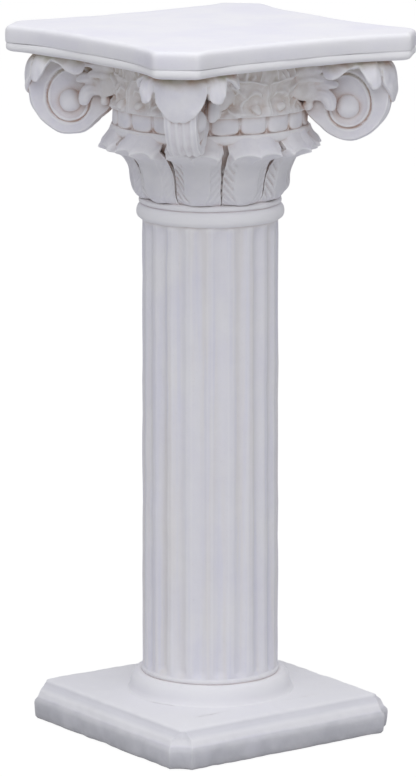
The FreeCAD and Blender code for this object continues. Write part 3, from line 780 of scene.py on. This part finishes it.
def leaf_profile(share, side):
    """Radius and height at a share of the way up, between a point of the lip and an arch between points."""
    arch = np.abs(np.sin(np.pi * np.clip(side, 0, 0.8) / 0.8)) ** 0.65
    arch = np.maximum(arch, 1.5 * smooth_step(side, 0.82, 1.0))
    arch_points, point_points = curve_through(LEAF_ARCH, share), curve_through(LEAF_POINT, share)
    return (point_points + (arch_points - point_points) * arch[:, None]).T


def leaf_rule(x, y, z):
    side = np.abs(x)
    radius, level = leaf_profile((y + 1) / 2, side)
    lip = smooth_step(level, 655, 667)
    strip_start = 0.50 - 0.22 * (1 - smooth_step(level, 613, 628))
    into_strip = smooth_step(side, strip_start, strip_start + 0.10)
    back = 1.6 * into_strip * (1 - lip) + 4.6 * smooth_step(side, 0.45, 1.05)
    back += 2.4 * smooth_step(side, 0.74, 1.0) * smooth_step(level, 676, 682)
    vein = np.mod(level / VEIN_PITCH - side * VEIN_SLANT, 1.0)
    vein = 2.4 * np.abs(np.sin(np.pi * vein)) ** 1.1 - 1.4
    room = into_strip * (1 - smooth_step(side, 0.94, 0.99)) * (1 - lip) * smooth_step(level, 613, 619)
    room = room * np.where(x < 0, NEAR_VEINS, FAR_VEINS)
    radius = radius - back + room * vein + 1.2 * bump(side, 0.975, 0.03) * (1 - lip)
    turn = x * (LEAF_SIDE - np.interp(level, *LEAF_GAP) / radius)
    return radius * np.cos(turn), radius * np.sin(turn), level


leaf = sheet("leaf_pattern", LEAF_COLUMNS, LEAF_ROWS, leaf_rule)
face_outward(leaf, LEAF_COLUMNS * 20 + LEAF_COLUMNS // 2)
thicken(leaf, 4.0, offset=-1)
print("leaf pattern", len(leaf.data.polygons), "faces")

# %% Ten leaves
for count in range(LEAF_COUNT):
    casting = turned_copy(leaf, f"bell_leaf_casting_{count + 1}", 45 + 36 * count)
    roughen(casting, 26, 0.5, seed=50 + count)
    dress(casting, f"bell_leaf_{count + 1}", sharp=55)
bpy.data.objects.remove(leaf)

# %% [markdown]
# ## The egg band
#
# Twenty flat eggs sit side by side between thin darts. Each could be a sphere set in a ring. As they are
# shallow and touch each other, a drum whose radius swells into an egg between two darts does it in one piece.


# %% Eggs
CAPITAL_RADIUS = 108  # where widths round the capital are measured
EGG_STEP = np.pi / 10
EGG_HALF_WIDTH = 16.2
EGG_GROUND, EGG_RISE = 104.6, 4.6
DART_GROUND, DART_RISE, DART_WIDTH = 104.4, 2.6, 0.9


def egg_rule(x, y, z):
    turn = np.mod(np.arctan2(y, x), 2 * np.pi)
    share = np.hypot(x, y) / 100
    offset = np.abs(np.mod(turn, EGG_STEP) - EGG_STEP / 2) * CAPITAL_RADIUS
    rise = np.clip((z - EGG_BAND[0]) / (EGG_BAND[1] - EGG_BAND[0]), 0, 1)
    width = EGG_HALF_WIDTH * np.clip(1 - ((rise - 0.80) / 0.84) ** 8, 0.01, 1) ** 0.5
    dome = np.clip(1 - (offset / width) ** 4, 0, 1) ** 0.4
    body = EGG_GROUND + EGG_RISE * dome * np.clip(1 - ((rise - 0.70) / 0.76) ** 8, 0, 1) ** 0.5
    dart = bump(offset, EGG_STEP / 2 * CAPITAL_RADIUS, DART_WIDTH) * (1 - 0.5 * rise)
    body = np.maximum(body, DART_GROUND + DART_RISE * dart)
    return x / np.hypot(x, y) * body * share, y / np.hypot(x, y) * body * share, z


eggs = drum("egg_band_casting", 640, tuple(np.linspace(*EGG_BAND, 19)))
carve(eggs, egg_rule)
roughen(eggs, 14, 0.35, seed=61)
level_off(eggs, *EGG_BAND)
dress(eggs, "egg_band", sharp=55)

# %% [markdown]
# ## The block and the leafy faces
#
# Between the scrolls a flaring block carries a low relief of leaves, with a petal in the middle and two
# berries in curling stems. It could be many small solids. As it is shallow, we take a fine grid, wrap it
# round the block and raise it: each stem, petal and leaflet is a line that lifts the points near it.

# %% Block
BLOCK_PROFILE = (
    (60, 713), (101, 713), (103, 722), (105, 735), (107, 750), (109, 762), (110, 770), (60, 770),
)
block = turned("block_casting", BLOCK_PROFILE, steps=160)
dress(block, "capital_block")

# %% Relief
RELIEF_HALF = 67.0
RELIEF_LOW = 712.5
RELIEF_COLUMNS, RELIEF_ROWS = 168, 78
RELIEF_GAIN = 1.05
RELIEF_GROUND = ((713, 716, 724, 735, 750, 770), (109.4, 108.6, 104.2, 104.6, 106.6, 109.6))

# Paths on one half of a face, as places (sideways, up) in mm.
BERRY, BERRY_SPREAD, BERRY_RISE = (16, 722), 32, 7.0  # its middle, its radius squared, its height
STEMS = (
    # path, width, rise: the curl round the berry, the wing, the stem above it and the one below it
    (((31, 718), (30, 729), (22, 738), (12, 738), (4, 730)), 3.4, 4.2),
    (((24, 733), (36, 741), (50, 747), (66, 760)), 4.2, 5.0),
    (((2, 744), (14, 750), (30, 752), (48, 760), (66, 768)), 3.4, 3.8),
    (((30, 716), (44, 722), (56, 730), (68, 744)), 4.6, 4.6),
)
LEAFLETS = (
    ((30, 750), (24, 764)), ((40, 755), (36, 768)), ((14, 750), (10, 765)), ((44, 744), (52, 756)),
    ((52, 749), (62, 752)), ((36, 741), (46, 733)), ((48, 746), (58, 738)), ((24, 752), (17, 760)),
    ((52, 761), (48, 769)), ((45, 722), (50, 734)), ((38, 728), (42, 736)), ((58, 733), (56, 743)),
    ((34, 717), (44, 714)), ((48, 723), (56, 718)),
)
PETAL, PETAL_TOP, GROOVE_DEPTH = ((0, 715), (0, 724), (0, 734), (0, 745)), 746, 1.2


def ridge(s, z, path, width, rise, taper=0.3):
    """How high a stem along a path of points lifts each place, in mm."""
    best = np.zeros_like(s)
    knots = curve_through(path, np.linspace(0, 1, 6 * len(path)))
    for number, (a, b) in enumerate(zip(knots[:-1], knots[1:])):
        share = (number + 0.5) / (len(knots) - 1)
        slim = min(1.0, share / taper + 0.35, (1 - share) / taper + 0.25)
        run = b - a
        t = np.clip(((s - a[0]) * run[0] + (z - a[1]) * run[1]) / (run @ run + 1e-9), 0, 1)
        away = np.hypot(s - a[0] - t * run[0], z - a[1] - t * run[1])
        best = np.maximum(best, rise * slim * np.exp(-1.5 * (away / (width * slim)) ** 2))
    return best


def relief_height(s, z):
    """All ridges of a face blended: the cube root of the sum of their cubes, less the petal's groove."""
    raised = [1.2 + 0.5 * waves(s, z, 0 * s, 16, 70)]
    for side in (-1, 1):
        m = s * side
        away = ((m - BERRY[0]) ** 2 + (z - BERRY[1]) ** 2) / BERRY_SPREAD
        raised.append(BERRY_RISE * np.sqrt(np.clip(1 - away, 0, 1)))
        raised += [ridge(m, z, path, width, rise) for path, width, rise in STEMS]
        raised += [ridge(m, z, path, 3.0, 3.4, taper=0.5) for path in LEAFLETS]
    raised.append(ridge(s, z, PETAL, 7.6, 6.2, taper=0.4))
    blended = sum(np.maximum(rise, 0) ** 3 for rise in raised) ** (1 / 3)
    return blended - GROOVE_DEPTH * bump(s, 0, 1.4) * (z < PETAL_TOP)


def relief_rule(x, y, z):
    s = x * RELIEF_HALF
    level = RELIEF_LOW + (y + 1) / 2 * (UNDER_BOARD - RELIEF_LOW)
    edge = (1 - np.abs(x)) * RELIEF_HALF
    sunk = -1.6 + 1.6 * smooth_step(edge, 0, 3)
    radius = np.interp(level, *RELIEF_GROUND) + 1.2
    drift_s, drift_z = 2.2 * waves(s, level, 0 * s, 30, 76), 1.6 * waves(s, level, 0 * s, 26, 77)
    lifted = RELIEF_GAIN * relief_height(s + drift_s, level + drift_z)
    radius = radius + sunk + lifted + 0.6 * waves(s, level, 0 * s, 9, 71)
    turn = s / CAPITAL_RADIUS
    return radius * np.cos(turn), radius * np.sin(turn), level


spray = sheet("spray_pattern", RELIEF_COLUMNS, RELIEF_ROWS, relief_rule)
face_outward(spray, RELIEF_COLUMNS * RELIEF_ROWS // 2 + RELIEF_COLUMNS // 2)
thicken(spray, 3, offset=-1)
for count in range(4):
    casting = turned_copy(spray, f"face_spray_casting_{count + 1}", 90 * count)
    roughen(casting, 20, 0.5, seed=72 + count)
    level_off(casting, *FACE_SPRAY)
    dress(casting, f"face_spray_{count + 1}", sharp=60)
bpy.data.objects.remove(spray)

# %% [markdown]
# ## The corner scrolls
#
# A scroll is a thick disc whose rim unrolls towards the block. Each side has a broad outer band, a spiral
# groove, a bowl and a ball, and the rim carries lengthwise ribs. We lay a drum on its side, cut rings into
# its ends, and let one rule say how high each place lies, by its distance from the eye.

# %% One scroll
EYE_OUT, EYE_Z = 156.0, 715.5
SCROLL_HALF = 17.0
RIM_EASE = 1.2
BOWL_RADIUS, BOWL_DEPTH = 13.5, 5.6
SPIRAL_DEPTH, SPIRAL_WIDTH = 3.4, 1.4
RIB_COUNT, RIB_HEIGHT = 4, 1.9
BALL_RADIUS, BALL_ASIDE = 13.8, 7.6
WHOLE_DEGREES = np.arange(-180, 180)
SCROLL_TABLE = (
    # angle about the eye in degrees, and the reach there of the rim and of the groove
    (-180, 50, 23), (-170, 45.7, 23), (-157.5, 40.3, 23.5), (-145, 37, 24), (-120, 36.8, 24.5),
    (-90, 36.8, 24.8), (-60, 37.2, 25), (-40, 38.2, 25.2), (-15, 41.8, 26.2), (11.5, 47, 27.6),
    (30, 55, 29.5), (47.5, 60, 32), (70, 57.5, 36), (90, 53.5, 39), (120, 58, 38), (150, 62, 30),
    (165, 60, 26), (180, 50, 23),
)
scroll_angles, rim_reaches, groove_reaches = zip(*SCROLL_TABLE)


def round_table(reaches):
    """The reach at each whole degree from -180, with the table's corners rounded off."""
    fine = np.interp(WHOLE_DEGREES, scroll_angles, reaches)
    window = np.hanning(15)
    return np.convolve(np.tile(fine, 3), window / window.sum(), "same")[360:720]


rim_table, groove_table = round_table(rim_reaches), round_table(groove_reaches)


def scroll_rule(x, y, z):
    angle = np.degrees(np.arctan2(y, x))
    share = np.hypot(x, y) / 100
    rim = np.interp(angle, WHOLE_DEGREES, rim_table, period=360)
    groove = np.interp(angle, WHOLE_DEGREES, groove_table, period=360)
    out = share * rim
    across = np.clip((out - groove) / (rim - RIM_EASE - groove), 0, 1)
    outer_band = 1.4 - 1.6 * np.sin(across * np.pi) ** 1.2
    inside = np.clip((groove - out) / (groove - BOWL_RADIUS), 0, 1)
    bowl = 1.2 * bump(out, groove - 3.4, 1.7) - BOWL_DEPTH * inside**0.9
    face = np.where(out > groove, outer_band, bowl) - SPIRAL_DEPTH * bump(out, groove, SPIRAL_WIDTH)
    at_end = np.abs(z) > SCROLL_HALF * 0.999
    sideways = np.where(at_end, np.sign(z) * (SCROLL_HALF - RIM_EASE + face), z * 0.93)
    rib = RIB_HEIGHT * np.sin(z / (2 * SCROLL_HALF) * RIB_COUNT * np.pi) ** 2 - 0.8
    edge_round = -0.6 * smooth_step(np.abs(z), 14, 17) ** 2
    out = np.where(at_end, share * (rim - RIM_EASE), rim + rib + edge_round)
    u = EYE_OUT + out * np.cos(np.radians(angle))
    level = EYE_Z + out * np.sin(np.radians(angle))
    return u, sideways, np.minimum(level, UNDER_BOARD)


scroll_levels = tuple(np.linspace(-SCROLL_HALF, SCROLL_HALF, 37))
scroll = drum("scroll_pattern", 200, scroll_levels, rings=(1.5,) + (2,) * 28 + (4, 5, 6, 8))
carve(scroll, scroll_rule)
for side in (-1, 1):
    ball_place = (EYE_OUT * MM, side * BALL_ASIDE * MM, EYE_Z * MM)
    bpy.ops.object.select_all(action="DESELECT")
    bpy.ops.mesh.primitive_uv_sphere_add(
        segments=40, ring_count=24, radius=BALL_RADIUS * MM, location=ball_place
    )
    join_to(scroll, [begin("ball")])
bpy.ops.object.mode_set(mode="EDIT")
bpy.ops.mesh.select_all(action="SELECT")
bpy.ops.mesh.normals_make_consistent(inside=False)
bpy.ops.object.mode_set(mode="OBJECT")
for count in range(4):
    casting = turned_copy(scroll, f"corner_scroll_casting_{count + 1}", 45 + 90 * count)
    roughen(casting, 22, 0.45, seed=81 + count)
    dress(casting, f"corner_scroll_{count + 1}", sharp=60)
bpy.data.objects.remove(scroll)

# %% [markdown]
# ## The leaf over each scroll
#
# A tongue of leaf hangs over the scroll's front, and lobes spread from it down both sides. Sculptors build
# such a thing from lumps and then blend them. We do the same: the tongue and the two fans are bent grids,
# each lobe is a sphere that is drawn out along a curve, and a voxel Remesh melts them into one skin.


# %% Lobes
def lobe(root, bend, tip, outward, half_width, thickness, cup=0.1, crease=1.2, blunt=0.2):
    """A leaf lobe along the curve root, bend, tip. Places are (outward, sideways, up) in mm."""
    root, bend, tip, outward = (np.array(point, float) for point in (root, bend, tip, outward))
    bpy.ops.object.select_all(action="DESELECT")
    bpy.ops.mesh.primitive_uv_sphere_add(segments=28, ring_count=28, radius=MM)
    piece = begin("lobe")

    def shape(x, y, z):
        t = ((z + 1) / 2)[:, None]
        inner = np.clip(t[:, 0], 0.001, 0.97)
        fuller = inner**0.1 * (1 - inner) ** -blunt
        x, y = x * fuller, y * fuller
        middle = (1 - t) ** 2 * root + 2 * t * (1 - t) * bend + t**2 * tip
        along = (1 - t) * (bend - root) + t * (tip - bend)
        along = along / np.linalg.norm(along, axis=1)[:, None]
        side = np.cross(along, outward)
        side = side / np.linalg.norm(side, axis=1)[:, None]
        up = np.cross(side, along)
        fold = -crease * bump(x, 0, 0.22) * (y > 0)
        lift = y * thickness - cup * half_width * x**2 + fold
        return (middle + side * (x * half_width)[:, None] + up * lift[:, None]).T

    carve(piece, shape)
    return piece


# %% Tongue
TONGUE_PATH = (
    (128, 766), (146, 768.5), (166, 769), (184, 768.2), (196, 765), (203.6, 757.5), (206.6, 746),
    (206.6, 734), (204.0, 722.5),
)
TONGUE_HALF_WIDTH = 28.0
TONGUE_BOW, TONGUE_DROOP = 10.5, 5.0  # how far its edges fall back in front, and hang on top


def tongue_rule(x, y, z):
    share = (y + 1) / 2
    u, level = curve_through(TONGUE_PATH, share).T
    width = TONGUE_HALF_WIDTH * np.sqrt(np.clip(1 - (np.clip(share - 0.64, 0, 1) / 0.3605) ** 2, 0, 1))
    width = width * (0.72 + 0.28 * smooth_step(share, 0.0, 0.4))
    in_front = smooth_step(share, 0.40, 0.72) * (1 - 0.85 * smooth_step(share, 0.74, 0.95))
    bowed = TONGUE_BOW * x**2 * in_front
    droop = TONGUE_DROOP * x**4 * (1 - smooth_step(share, 0.5, 0.7))
    return u - bowed, x * width, level - droop


tongue = sheet("tongue", 40, 60, tongue_rule)
thicken(tongue, 5.5, offset=0)
print("tongue", len(tongue.data.polygons), "faces")

# %% Side fans
FAN_NOTCHES = np.array((43, 77, 124))
FAN_PEAKS = np.array((0.32, 0.72))
FAN_PATH = ((10, 766), (24, 769.5), (36, 770), (45, 766), (50.5, 756), (51.5, 742.5))
FAN_ROOT = 162


def fan(side):
    """Two lobes that spread over one side of a scroll, like fingers of a half open hand."""

    def shape(x, y, z):
        spread = FAN_NOTCHES[0] + (x + 1) / 2 * (FAN_NOTCHES[-1] - FAN_NOTCHES[0])
        number = np.clip(np.searchsorted(FAN_NOTCHES, spread, side="right") - 1, 0, 1)
        start, end = FAN_NOTCHES[number], FAN_NOTCHES[number + 1]
        across = np.clip((spread - start) / (end - start), 0, 1)
        skewed = across ** (np.log(0.5) / np.log(FAN_PEAKS[number]))
        bulge = np.clip(np.sin(np.pi * skewed), 0, 1) ** 0.75
        bulge = bulge * (1 + 0.05 * np.sin(6 * np.pi * across))
        down = (y + 1) / 2
        reach, level = curve_through(FAN_PATH, down * (0.66 + 0.34 * bulge)).T
        reach = reach * np.interp(spread, (52, 110), (0.92, 1.09))
        level = UNDER_BOARD - (UNDER_BOARD - level) * np.interp(spread, (60, 95), (1.12, 0.72))
        fold = smooth_step(down, 0.3, 0.75)
        vein = bump(across, 0.5, 0.09) + 0.6 * bump(across, 0.22, 0.06)
        vein += 0.6 * bump(across, 0.78, 0.06)
        reach = reach + fold * (3.8 * bulge - 2.6 - 0.6 * vein * bulge)
        reach = reach - 4.0 * bump(spread, FAN_NOTCHES[0], 4) * smooth_step(down, 0.1, 0.35)
        level = level + fold * 1.6 * (bulge - 1) * (1 - down)
        turn = np.radians(spread)
        return FAN_ROOT + reach * np.cos(turn), side * reach * np.sin(turn), level

    piece = sheet("fan", 90, 36, shape)
    thicken(piece, 4.8, offset=0)
    return piece


# %% Scroll leaves
UPWARD, ASIDE = (0, 0.25, 1), (0.2, 0.95, 0.25)
LOBES = (
    # root, bend, tip, the way it faces, half width, thickness, and what differs from the usual lobe
    ((186, 16, 764), (152, 18, 768), (112, 26, 762), UPWARD, 15, 5.5, {}),
    ((88, 46, 741), (106, 34, 742), (126, 18, 736), ASIDE, 15, 5, {"crease": 0}),
    ((110, 24, 724), (140, 28, 740), (138, 24, 712), ASIDE, 7.4, 5.6, {}),
    ((92, 46, 752), (108, 38, 768), (134, 28, 762), ASIDE, 9, 5, {}),
    ((94, 42, 742), (112, 36, 757), (134, 25, 746), ASIDE, 6.5, 4, {"blunt": 0.05}),
    ((108, 22, 735), (132, 25, 749), (148, 23, 739), ASIDE, 6.5, 4, {"blunt": 0.05}),
    ((92, 44, 731), (106, 38, 740), (116, 26, 729), ASIDE, 5, 3.4, {"blunt": 0}),
    ((112, 22, 725), (114, 27, 721), (114, 22, 714), ASIDE, 5, 6, {"cup": 0, "crease": 0}),
)
lumps = []
for side in (-1, 1):
    lumps.append(fan(side))
    for *places, half_width, thickness, special in LOBES:
        mirrored = [(out, across * side, up) for out, across, up in places]
        lumps.append(lobe(*mirrored, half_width, thickness, **special))
join_to(tongue, lumps)
melt = tongue.modifiers.new("melt", "REMESH")
melt.mode = "VOXEL"
melt.voxel_size = 1.2 * MM
bpy.ops.object.modifier_apply(modifier="melt")
soften(tongue, 2)
for count in range(4):
    casting = turned_copy(tongue, f"scroll_leaf_casting_{count + 1}", 45 + 90 * count)
    roughen(casting, 15, 0.5, seed=91 + count)
    carve(casting, lambda x, y, z: (x, y, np.minimum(z, SCROLL_LEAF_TOP)))
    dress(casting, f"scroll_leaf_{count + 1}", sharp=80)
bpy.data.objects.remove(tongue)
